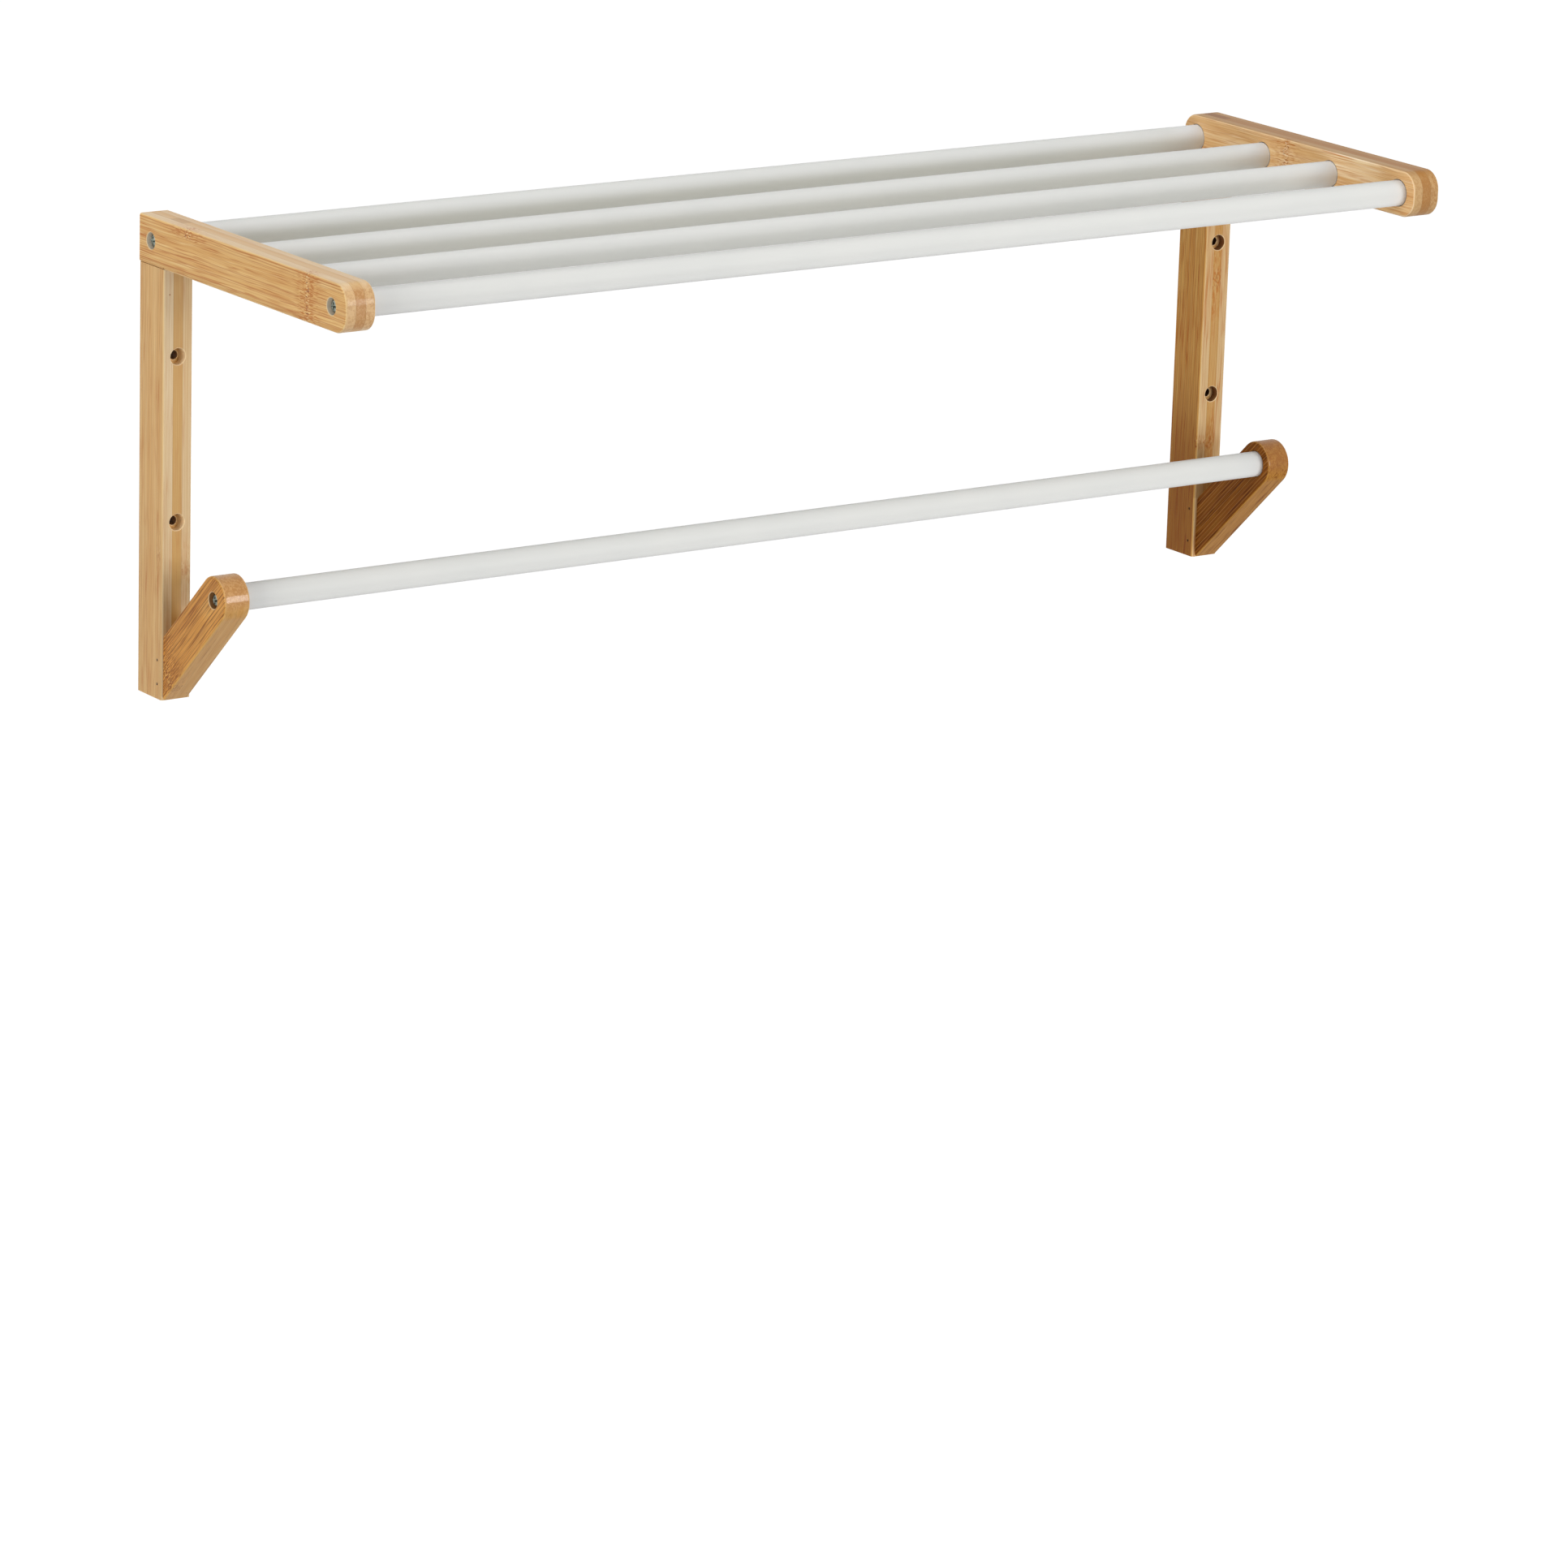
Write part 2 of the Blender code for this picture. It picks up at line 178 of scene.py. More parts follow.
def cut_away(piece, shapes):
    """Take closed shapes out of a piece, whose flat faces then shade flat."""
    cutters = []
    for index, shape in enumerate(shapes):
        cutter = as_piece(f"{piece.name}_cutter_{index}", shape)
        cut = piece.modifiers.new(cutter.name, "BOOLEAN")
        cut.operation = "DIFFERENCE"
        cut.solver = "MANIFOLD"
        cut.object = cutter
        cutters.append(cutter)
    seen = piece.evaluated_get(bpy.context.evaluated_depsgraph_get())
    mesh = bpy.data.meshes.new_from_object(seen)
    piece.modifiers.clear()
    piece.data = mesh
    for cutter in cutters:
        bpy.data.objects.remove(cutter, do_unlink=True)
    mesh.set_sharp_from_angle(angle=sharp_edge)
    even = piece.modifiers.new("even_shading", "WEIGHTED_NORMAL")
    even.keep_sharp = True


def drill(piece, holes):
    """Cut turned holes out of a piece. Each hole is (start, direction, profile)."""
    shapes = []
    for start, direction, profile in holes:
        shapes.append(placed(turned(profile, hole_facets), start, direction))
    cut_away(piece, shapes)


def stand_for(piece, node, material):
    """The piece rides on the rack and stands for a CAD node, with its own material."""
    piece.data.materials.clear()
    piece.data.materials.append(material)
    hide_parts(node)
    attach(piece, "root")


class Value:
    """A shader socket that does maths as a Python number does."""

    def __init__(self, finish, socket):
        self.finish = finish
        self.socket = socket

    def maths(self, operation, *terms):
        return self.finish.add("Math", {"operation": operation}, dict(enumerate(terms)))

    def __add__(self, other):
        return self.maths("ADD", self, other)

    def __sub__(self, other):
        return self.maths("SUBTRACT", self, other)

    def __rsub__(self, other):
        return self.maths("SUBTRACT", other, self)

    def __mul__(self, other):
        return self.maths("MULTIPLY", self, other)

    def __truediv__(self, other):
        return self.maths("DIVIDE", self, other)

    def __gt__(self, other):
        return self.maths("GREATER_THAN", self, other)

    def __lt__(self, other):
        return self.maths("LESS_THAN", self, other)

    def __abs__(self):
        return self.maths("ABSOLUTE", self)

    __radd__ = __add__
    __rmul__ = __mul__


class Nodes:
    """The shader nodes of a material or of the room."""

    def __init__(self, owner):
        owner.use_nodes = True
        self.tree = owner.node_tree

    def add(self, kind, settings=None, inputs=None, output=0):
        """A node of one type: its settings, then its inputs, and which output to use."""
        node = self.tree.nodes.new("ShaderNode" + kind)
        for setting, value in (settings or {}).items():
            setattr(node, setting, value)
        for key, value in (inputs or {}).items():
            self.feed(self.pick(node.inputs, key), value)
        return Value(self, self.pick(node.outputs, output))

    def pick(self, sockets, key):
        if isinstance(key, int):
            return [socket for socket in sockets if socket.enabled][key]
        return next(socket for socket in sockets if socket.enabled and socket.name == key)

    def feed(self, socket, value):
        if isinstance(value, Value):
            self.tree.links.new(value.socket, socket)
        else:
            socket.default_value = value

    def mix(self, share, first, second):
        """Mix two colours."""
        inputs = {"Factor": share, "A": first, "B": second}
        return self.add("Mix", {"data_type": "RGBA"}, inputs, "Result")

    def ease(self, value, low, high):
        """0 below low, 1 above high, and a smooth step between them."""
        inputs = {"Value": value, "From Min": low, "From Max": high}
        return self.add("MapRange", {"interpolation_type": "SMOOTHSTEP"}, inputs, "Result")

    def vector_maths(self, operation, *terms, output=0):
        inputs = dict(enumerate(terms))
        return self.add("VectorMath", {"operation": operation}, inputs, output)

    def tinted(self, colour, tint):
        """A colour multiplied by another one."""
        return self.vector_maths("MULTIPLY", colour, tint)

    def scaled(self, colour, factor):
        return self.vector_maths("SCALE", colour, factor)

    def dot(self, vector, axis):
        return self.vector_maths("DOT_PRODUCT", vector, axis, output="Value")

    def distance(self, vector, point):
        return self.vector_maths("DISTANCE", vector, point, output="Value")

    def vector(self, x, y, z):
        return self.add("CombineXYZ", None, {"X": x, "Y": y, "Z": z})

    def noise(self, vector, seed, detail=2.0):
        inputs = {"Vector": vector, "W": seed, "Scale": 1.0, "Detail": detail}
        return self.add("TexNoise", {"noise_dimensions": "4D"}, inputs, "Fac")


class Finish(Nodes):
    """A material, built node by node on one Principled shader."""

    def __init__(self, name, **constants):
        self.material = bpy.data.materials.new(name)
        super().__init__(self.material)
        self.shader = self.tree.nodes["Principled BSDF"]
        for socket, value in constants.items():
            self.shader.inputs[socket.replace("_", " ")].default_value = value

    def surface(self, **links):
        """Link what varies over the surface to the shader, and give the material back."""
        for socket, value in links.items():
            self.feed(self.shader.inputs[socket.replace("_", " ")], value)
        return self.material


def shade(red, green, blue):
    """A colour as it shows on a screen, turned into the linear colour that a shader takes."""
    parts = [part / 255 for part in (red, green, blue)]
    linear = [p / 12.92 if p <= 0.04045 else ((p + 0.055) / 1.055) ** 2.4 for p in parts]
    return (*linear, 1.0)


no_tint = (1.0, 1.0, 1.0, 1.0)


class Bamboo:
    """Lacquered bamboo, cut from three plies that lie side by side, 0 to 2 from the left.

    The four tints are of the left face, the right face, the plies' edges and the sawn ends.
    Matched face by face, they carry painted light and shade as well as the wood's tone.
    ply_gold says how golden each ply's edge is, from left to right. veining says how strong
    the veins are, and what share of them the plies' edges show. sheen is the lacquer's on the
    whole bar, gloss what the sawn ends have above it, and glue the strength of the glue lines.
    """

    pale = shade(232, 187, 124)
    golden = shade(214, 155, 84)
    streak = shade(188, 112, 46)
    # Pale of the hairline veins and knot glints, and also the arrises' painted highlight.
    pale_vein_and_highlight = shade(244, 213, 162)
    edge_pale = shade(227, 198, 157)
    edge_golden = shade(206, 159, 92)
    end_pale = shade(218, 182, 138)
    end_brown = shade(182, 132, 82)
    knot_brown = shade(142, 76, 28)
    # Painted shade in the brads' pin holes.
    pin_hole_painted_shade = shade(62, 32, 14)
    # Painted highlight on the rims of drilled holes.
    rim_highlight = shade(250, 222, 176)
    shaded = (0.52, 0.38, 0.17, 1.0)
    bleached = (1.16, 1.38, 1.80, 1.0)

    # What the figure is made of: length along the grain, width across it, and a seed.
    broad_bands = (0.25, 0.0042, 1.0)
    vein_groups = (0.03, 0.0030, 6.0)
    bold_veins = (0.13, 0.0017, 2.0)
    fine_veins = (0.06, 0.0009, 3.0)
    bright_veins = (0.08, 0.0014, 8.0)
    dark_streaks = (0.015, 0.0007, 9.0)
    fibre_lines = (0.045, 0.00042, 4.0)
    drifting = (0.05, 0.008, 11.0)
    curling = (0.0035, 0.0028, 13.0)
    scar_bends = (0.5, 0.0045, 30.0)
    scar_steps = (0.5, 0.0012, 31.0)
    scar_dashes = (0.004, 0.0005, 5.0)
    scar_flecks = (0.0017, 0.0008, 21.0)
    scar_dots = (0.0013, 0.0009, 23.0)
    scar_glints = (0.0015, 0.0008, 25.0)
    end_pores = (0.01, 0.00034, 7.0)
    end_burls = (0.0030, 0.0012, 27.0)
    clouding = (0.16, 0.009, 41.0)

    ply_seed_step = 4.7
    grain_slant = 0.012
    sway = 0.0016
    scar_bend_size = 0.006
    scar_step_size = 0.004
    soft_side = 0.0003
    edge_line_half_width = 0.00012
    seam_half_widths = (0.00005, 0.0002)
    rim_half_widths = (0.0001, 0.0003)
    whole_width = (-1.0, 1.0)

    def __init__(
        self, name, grain, across, x_low, seed, tints, ply_gold, veining,
        gloss=0.12, sheen=0.3, glue=1.0,
    ):
        self.finish = Finish(name, Specular_IOR_Level=sheen, Coat_Roughness=0.14)
        self.grain = Vector(grain).normalized()
        self.across = Vector(across).normalized()
        self.x_low = x_low
        self.seed = seed
        self.left_tint, self.right_tint, self.edge_tint, self.end_tint = tints
        self.ply_gold = ply_gold
        self.lined, self.edge_lined = veining
        self.gloss = gloss
        self.sheen = sheen
        self.glue = glue
        self.knots = []
        self.lines = []
        self.edge_lines = []
        self.patches = []
        self.spots = []
        self.bores = []

    def knot(self, ply, place, reach, strength, across=whole_width):
        """A growth ring's scar across one ply, at a place along the grain."""
        self.knots.append((ply, place, reach, strength, across))

    def line(self, side, strength, colour, half_width=0.00018):
        """One long vein on the first ply's face, at a place across the grain."""
        self.lines.append((side, strength, colour, half_width))

    def edge_line(self, depth, strength, colour):
        """One long vein on the plies' edges, at a place through the bar's thickness."""
        self.edge_lines.append((depth, strength, colour))

    def patch(self, ply, along, across, strength, fade=0.001, veil=shaded):
        """A stretch of one ply in another shade, darker unless its veil is a pale one."""
        self.patches.append((ply, along, across, strength, fade, veil))

    def spot(self, place, radius, colour=knot_brown):
        """A small dark speck at a point of the surface."""
        self.spots.append((place, radius, colour))

    def bore(self, point, axis, radius, colour, strength):
        """A drilled hole whose wall is painted with the light and shade that fall inside it."""
        self.bores.append((point, axis, radius, colour, strength))

    def build(self):
        """Make the material: first the grain's figure, then what is laid over it."""
        finish = self.finish
        position = finish.add("TexCoord", output="Object")
        normal = finish.add("NewGeometry", output="Normal")
        along = finish.dot(position, self.grain)
        side = finish.dot(position, self.across)
        depth = finish.dot(position, along_rods) - self.x_low
        in_plies = {"Value": depth / ply_thickness, "Min": 0.001, "Max": 2.999}
        plies = finish.add("Clamp", None, in_plies)
        ply = finish.add("Math", {"operation": "FLOOR"}, {0: plies})
        ply_seed = ply * self.ply_seed_step + self.seed

        def strand(figure, detail=1.0, sideways=side):
            length, width, seed = figure
            place = finish.vector(along / length, sideways / width, depth / width)
            return finish.noise(place, ply_seed + seed, detail)

        def between(value, limits, soft):
            low, high = limits
            rise = finish.ease(value, low - soft, low + soft)
            return rise * (1 - finish.ease(value, high - soft, high + soft))

        def on_ply(wanted):
            return abs(ply - wanted) < 0.5

        # The growth rings' scars, each with a core and a halo, run across the grain unevenly.
        bend = (strand(self.scar_bends) - 0.5) * self.scar_bend_size
        bend = bend + (strand(self.scar_steps) - 0.5) * self.scar_step_size
        halo = 0.0
        core = 0.0
        for knot_ply, place, reach, strength, across in self.knots:
            away = abs(along - place + bend)
            here = on_ply(knot_ply) * between(side, across, self.soft_side) * strength
            halo = halo + (1 - finish.ease(away, reach * 0.7, reach * 6.0)) * here
            core = core + (1 - finish.ease(away, reach * 0.4, reach)) * here

        # The figure drifts along the bar and curls where it meets a scar.
        drift = (strand(self.drifting) - 0.5) * self.sway
        curl = (strand(self.curling) - 0.5) * self.sway
        wavy = side + along * self.grain_slant + drift + curl * halo

        def veins(figure, width):
            return 1 - finish.ease(abs(strand(figure, 0.0, wavy) - 0.5), 0.0, width)

        broad = finish.ease(strand(self.broad_bands, sideways=wavy), 0.38, 0.62)
        veined = finish.ease(strand(self.vein_groups, sideways=wavy), 0.36, 0.60)
        bold = veins(self.bold_veins, 0.045) * veined
        fine = veins(self.fine_veins, 0.07) * (broad * 0.5 + 0.5)
        bright = veins(self.bright_veins, 0.045)
        streaks = finish.ease(strand(self.dark_streaks, 0.0, wavy), 0.54, 0.66)
        streaks = streaks * (veined * 0.7 + 0.3)
        fibres = finish.ease(strand(self.fibre_lines, sideways=wavy), 0.50, 0.66)
        dashes = finish.ease(strand(self.scar_dashes, 0.0, wavy), 0.51, 0.59) * halo

        # The flat faces show the veins, and the plies' edges differ from ply to ply.
        facing = finish.dot(normal, along_rods)
        flat_face = finish.ease(abs(facing), 0.45, 0.85)
        first, middle, last = self.ply_gold
        gold_share = (ply > 0.5) * (middle - first) + (ply > 1.5) * (last - middle) + first
        flat = finish.mix(broad * 0.5 + fibres * 0.25, self.pale, self.golden)
        edge = finish.mix(gold_share + (broad - 0.5) * 0.25, self.edge_pale, self.edge_golden)
        colour = finish.mix(flat_face, edge, flat)
        dark = (bold * 0.6 + fine * 0.3 + streaks * 0.45 + fibres * 0.15) * self.lined
        dark = (dark + dashes * 0.9) * (flat_face * (1 - self.edge_lined) + self.edge_lined)
        colour = finish.mix(bright * (flat_face * 0.3 + 0.1) * self.lined, colour, self.pale_vein_and_highlight)
        colour = finish.mix(dark, colour, self.streak)

        if self.knots:
            flecks = finish.ease(strand(self.scar_flecks, 0.0), 0.50, 0.60)
            dots = finish.ease(strand(self.scar_dots, 0.0), 0.60, 0.67)
            glints = finish.ease(strand(self.scar_glints, 0.0), 0.54, 0.62)
            colour = finish.mix(halo * 0.15, colour, self.golden)
            colour = finish.mix(core * flecks * 0.85, colour, self.streak)
            colour = finish.mix(core * glints * (flat_face * 0.6 + 0.15), colour, self.pale_vein_and_highlight)
            colour = finish.mix(core * dots * (flat_face * 0.6 + 0.35), colour, self.knot_brown)

        # The sawn ends show pores, and a painted highlight lies along the rounded arrises.
        end_grain = finish.ease(abs(finish.dot(normal, self.grain)), 0.35, 0.85)
        pores = finish.ease(strand(self.end_pores, 0.0), 0.44, 0.62)
        burls = (finish.ease(strand(self.end_burls), 0.42, 0.6) - 0.5) * 0.5
        end_share = pores * 0.4 + gold_share * 1.1 + burls
        end_colour = finish.mix(end_share, self.end_pale, self.end_brown)
        colour = finish.mix(end_grain * 0.85, colour, end_colour)
        arris = finish.ease(abs(facing), 0.25, 0.5) * (1 - finish.ease(abs(facing), 0.8, 0.97))
        colour = finish.mix(arris * 0.45, colour, self.pale_vein_and_highlight)

        # Soft clouding, and a dark glue line at each seam between two plies.
        cloud = (strand(self.clouding, 0.0) - 0.5) * 0.12 + 1
        nearest = finish.add("Math", {"operation": "ROUND"}, {0: plies})
        seam = abs(plies - nearest) * ply_thickness
        inside = 1 - finish.ease(abs(plies - 1.5), 1.0, 1.2)
        glue_line = (1 - finish.ease(seam, *self.seam_half_widths)) * inside * 0.15
        colour = finish.scaled(colour, cloud * (1 - glue_line * self.glue))

        # Patches on single plies, some of them painted shade, and then the tints of the bar's
        # sides, which carry painted light and shade too.
        for patch_ply, stretch, across, strength, fade, veil in self.patches:
            within = between(along, stretch, fade) * between(side, across, self.soft_side)
            within = within * on_ply(patch_ply)
            colour = finish.tinted(colour, finish.mix(within * strength, no_tint, veil))

        edges_tint = finish.mix(end_grain, (*self.edge_tint, 1.0), (*self.end_tint, 1.0))
        faces_tint = finish.mix(facing < 0.0, (*self.right_tint, 1.0), (*self.left_tint, 1.0))
        colour = finish.tinted(colour, finish.mix(flat_face, edges_tint, faces_tint))

        # Single features: veins and specks, then the drilled holes, whose walls are painted with
        # the light and shade inside them and whose rims get a painted highlight.
        def thin_line(away, half_width):
            return 1 - finish.ease(away, half_width * 0.5, half_width * 1.6)

        for place, strength, vein_colour, half_width in self.lines:
            within = thin_line(abs(side - place + drift * 0.3), half_width)
            colour = finish.mix((ply < 0.5) * flat_face * within * strength, colour, vein_colour)

        for place, strength, vein_colour in self.edge_lines:
            within = thin_line(abs(depth - place + drift * 0.4), self.edge_line_half_width)
            share = (1 - flat_face) * (1 - end_grain) * within * strength
            colour = finish.mix(share, colour, vein_colour)

        for place, radius, brown in self.spots:
            near = 1 - finish.ease(finish.distance(position, place), radius * 0.75, radius)
            colour = finish.mix(near * 0.9, colour, brown)

        for point, axis, radius, painted_wall, strength in self.bores:
            local = finish.vector_maths("SUBTRACT", position, point)
            crossed = finish.vector_maths("CROSS_PRODUCT", local, axis)
            off_axis = finish.vector_maths("LENGTH", crossed, output="Value")
            wall = 1 - finish.ease(abs(finish.dot(normal, axis)), 0.5, 0.7)
            # Each hole's rim gets a painted highlight, and its wall a painted colour for its light
            # and shade.
            rim = 1 - finish.ease(abs(off_axis - radius), *self.rim_half_widths)
            colour = finish.mix(rim * (1 - wall) * 0.6, colour, self.rim_highlight)
            colour = finish.mix((off_axis < radius) * wall * strength, colour, painted_wall)

        rough = dark * 0.08 + end_grain * 0.1 + 0.42
        height = pores * end_grain * 1.5 + (1 - dark)
        bump = finish.add("Bump", None, {"Strength": 0.2, "Distance": 0.00006, "Height": height})
        lacquer = end_grain * (1 - pores * 0.3) * self.gloss + self.sheen * 0.3
        return finish.surface(Base_Color=colour, Roughness=rough, Coat_Weight=lacquer, Normal=bump)


def dowel_hole(side_name):
    """The hole of the dowel that ties an arm to its upright, measured from its middle."""
    low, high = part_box(side_name + "_joint_dowel")
    profile = ((-dowel_hole_reach, dowel_hole_radius), (dowel_hole_reach, dowel_hole_radius))
    return (low + high) / 2, upward, profile


def upright_holes(name, low, high):
    """The wall screws' holes, the dowel's hole and the brads' holes in an upright."""
    middle = (low.x + high.x) / 2
    screw_hole = blind_hole(wall_counterbore_depth, wall_counterbore_radius) + (
        (wall_counterbore_depth, wall_hole_radius + wall_hole_ease),
        (wall_counterbore_depth + wall_hole_ease, wall_hole_radius),
        (high.y - low.y + cut_overrun, wall_hole_radius),
    )
    holes = [((middle, low.y, height), wall_normal, screw_hole) for height in wall_hole_heights]
    side_name = name.split("_")[0]
    return holes + [dowel_hole(side_name)] + brad_holes(side_name, low)


def brad_holes(side_name, upright_low):
    """Slanting holes for the two brads, from the upright's left face."""
    direction = Vector((math.cos(brad_slant), -math.sin(brad_slant), 0))
    profile = ((-cut_overrun, brad_hole_radius), (brad_hole_depth, brad_hole_radius))
    holes = []
    for number in (1, 2):
        low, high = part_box(f"{side_name}_brad_{number}")
        middle = (low + high) / 2
        start = middle - direction * ((middle.x - upright_low.x) / direction.x)
        holes.append((start, direction, profile))
    return holes


upright_seed = 3.0
# On the right upright the left face's tint is painted shade, darker than the wood.
upright_looks = {
    "left_upright": {
        "tints": ((0.99, 1.04, 1.04), (0.9, 0.9, 0.85), (0.95, 1.0, 1.02), (0.86, 0.84, 0.75)),
        "ply_gold": (0.15, 1.0, 0.45),
        "veining": (0.75, 0.55),
    },
    "right_upright": {
        "tints": ((0.79, 0.69, 0.44), (0.81, 0.77, 0.64), (0.87, 0.89, 0.88), (0.84, 0.80, 0.66)),
        "ply_gold": (0.45, 1.0, 0.3),
        "veining": (1.3, 0.7),
        "sheen": 0.12,
    },
}

# Veins on the left faces: distance behind the front face, and strength.
upright_lines = (
    (0.0016, 0.45),
    (0.0033, 0.3),
    (0.0052, 0.5),
    (0.0068, 0.3),
    (0.0091, 0.45),
    (0.0104, 0.35),
    (0.0128, 0.5),
    (0.0149, 0.3),
    (0.0163, 0.45),
    (0.0187, 0.5),
    (0.0204, 0.35),
)

# Veins on the front faces: distance from the left face, and strength.
upright_edge_lines = (
    (0.0014, 0.25),
    (0.0029, 0.3),
    (0.0056, 0.5),
    (0.0066, 0.35),
    (0.0075, 0.5),
    (0.0087, 0.4),
    (0.0094, 0.55),
    (0.0113, 0.3),
    (0.0126, 0.4),
    (0.0139, 0.3),
)
upright_line_half_width = 0.00016
upright_line_colours = {"left_upright": shade(184, 134, 78), "right_upright": shade(134, 88, 42)}
upright_edge_colours = {"left_upright": shade(186, 134, 78), "right_upright": shade(168, 116, 62)}

# Painted light and shade on the walls of a counterbore and of the screw hole in its floor:
# painted light in the left counterbore, painted shade in the rest.
upright_bore_light_and_shade = {
    "left_upright": (shade(255, 230, 188), shade(104, 58, 28)),
    "right_upright": (shade(126, 82, 52), shade(62, 32, 14)),
}
beyond_bar = 0.1
over_edge = 0.001
pin_hole_rim = 1.35

for number, name in enumerate(("left_upright", "right_upright")):
    low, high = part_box(name)
    top = high.z + joint_closing
    outline = [(high.y, low.z), (high.y, top), (low.y, top), (low.y, low.z)]
    upright = sanded_bar(name + "_bar", outline, (1, 3), low.x, high.x)
    drill(upright, upright_holes(name, low, high))
    wood = Bamboo(name, upward, wall_normal, low.x, upright_seed + number, **upright_looks[name])
    for setback, strength in upright_lines:
        wood.line(low.y + setback, strength, upright_line_colours[name], upright_line_half_width)
    for depth, strength in upright_edge_lines:
        wood.edge_line(depth, strength, upright_edge_colours[name])
    if name == "left_upright":
        wood.knot(2, 0.060, reach=0.0040, strength=0.5)
        front_part = (low.y + 0.0015, low.y + 0.0055)
        wood.knot(0, 0.068, reach=0.0045, strength=0.3, across=front_part)
        wood.patch(0, (low.z, high.z), (high.y - 0.0016, high.y), strength=0.25)
        lower_end = (low.z - beyond_bar, 0.08)
        wood.patch(0, lower_end, (low.y, high.y), strength=0.15, fade=0.03)
        wood.spot((low.x + 0.0031, low.y, 0.1865), radius=0.0004)
    else:
        front_edge = (low.y - over_edge, low.y + 0.002)
        wood.knot(1, 0.1405, reach=0.0065, strength=1.0)
        wood.knot(0, 0.0585, reach=0.0009, strength=1.0, across=front_edge)
        wood.knot(1, 0.0570, reach=0.0040, strength=1.0)
        # Painted shade on the front edges between the hook and the towel rod.
        wood.patch(1, (0.0300, 0.0680), front_edge, strength=0.30, fade=0.01)
        wood.patch(2, (0.0300, 0.0600), front_edge, strength=0.35, fade=0.004)
        arris = (low.y - over_edge, low.y + 0.001)
        wood.patch(0, (0.0300, 0.0580), arris, strength=0.35, fade=0.0004)
        wood.spot((low.x, low.y + 0.0009, 0.0560), radius=0.0006)
        # Painted shade: the left face darker towards its lower end.
        lower_end = (low.z - beyond_bar, 0.07)
        wood.patch(0, lower_end, (low.y + 0.0012, high.y), strength=1.0, fade=0.035)
    mouth_painted_tone, hole_painted_shade = upright_bore_light_and_shade[name]
    mouth_radius = wall_counterbore_radius + mouth_ease / 2
    hole_radius = wall_hole_radius + wall_hole_ease / 2
    for height in wall_hole_heights:
        place = ((low.x + high.x) / 2, low.y, height)
        wood.bore(place, wall_normal, mouth_radius, mouth_painted_tone, strength=0.8)
        wood.bore(place, wall_normal, hole_radius, hole_painted_shade, strength=0.8)
    # Painted shade: a dark brown ring round each pin hole.
    for start, direction, profile in brad_holes(name.split("_")[0], low):
        wood.spot(start, brad_hole_radius * pin_hole_rim, Bamboo.pin_hole_painted_shade)
    stand_for(upright, name, wood.build())


# Arms
# The horizontal bars that carry the shelf, of the same stock as the uprights. Both front
# corners are cut round, and the right arm's upper rear one too. Blind sockets in the inner
# face take the rods, and the outer ones are screwed through from a counterbore.
arm_end_radius = 0.009
arm_corner_steps = 16
socket_depth = 0.0055
socket_gap = 0.0003
rod_counterbore_radius = 0.0038
rod_counterbore_depth = 0.0040
screw_hole_radius = 0.00205
shelf_rods = ["shelf_rod_1", "shelf_rod_2", "shelf_rod_3", "shelf_rod_4"]
screwed_rods = ("shelf_rod_1", "shelf_rod_4", "towel_rod")


def rod_place(rod):
    """Centre of a rod in side view, and its radius."""
    low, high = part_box(rod)
    return (low.y + high.y) / 2, (low.z + high.z) / 2, (high.z - low.z) / 2


def rod_hole(rod, low, high, outward):
    """A rod's socket in a bar's inner face, with its screw hole where the rod has a screw."""
    y, z, rod_radius = rod_place(rod)
    socket_radius = rod_radius + socket_gap
    thickness = high.x - low.x
    outer_x = high.x if outward.x > 0 else low.x
    inner_x = low.x if outward.x > 0 else high.x
    if rod not in screwed_rods:
        return Vector((inner_x, y, z)), outward, blind_hole(socket_depth, socket_radius)
    socket_floor = thickness - socket_depth
    profile = blind_hole(rod_counterbore_depth, rod_counterbore_radius) + (
        (rod_counterbore_depth, screw_hole_radius),
        (socket_floor, screw_hole_radius),
        (socket_floor, socket_radius),
        (thickness - mouth_ease, socket_radius),
        (thickness, socket_radius + mouth_ease),
        (thickness + cut_overrun, socket_radius + mouth_ease),
    )
    return Vector((outer_x, y, z)), -outward, profile


arm_seed = 11.0
# On the right arm the left face's tint is painted light, lighter than the wood.
arm_looks = {
    "left_arm": {
        "tints": ((1.06, 1.08, 0.95), (1.0, 1.0, 0.96), (1.0, 1.0, 0.96), (0.93, 0.89, 0.78)),
        "ply_gold": (0.05, 0.72, 0.25),
        "veining": (1.1, 0.3),
    },
    "right_arm": {
        "tints": ((1.1, 1.2, 1.46), (0.95, 0.93, 0.88), (0.60, 0.47, 0.31), (0.74, 0.69, 0.57)),
        "ply_gold": (0.0, 0.85, 0.35),
        "veining": (0.9, 0.3),
        "sheen": 0.1,
    },
}

# Veins on the left arm's left face: distance below the upper face, and strength.
left_arm_lines = (
    (0.0012, 0.8),
    (0.0024, 0.55),
    (0.0036, 0.45),
    (0.0115, 0.6),
    (0.0133, 0.4),
    (0.0156, 0.65),
    (0.0165, 0.4),
    (0.0192, 0.65),
)
# Painted light: the rod counterbores' walls are painted near white, as if lit inside.
bore_painted_light = shade(250, 238, 220)
rod_mouth_radius = rod_counterbore_radius + mouth_ease / 2

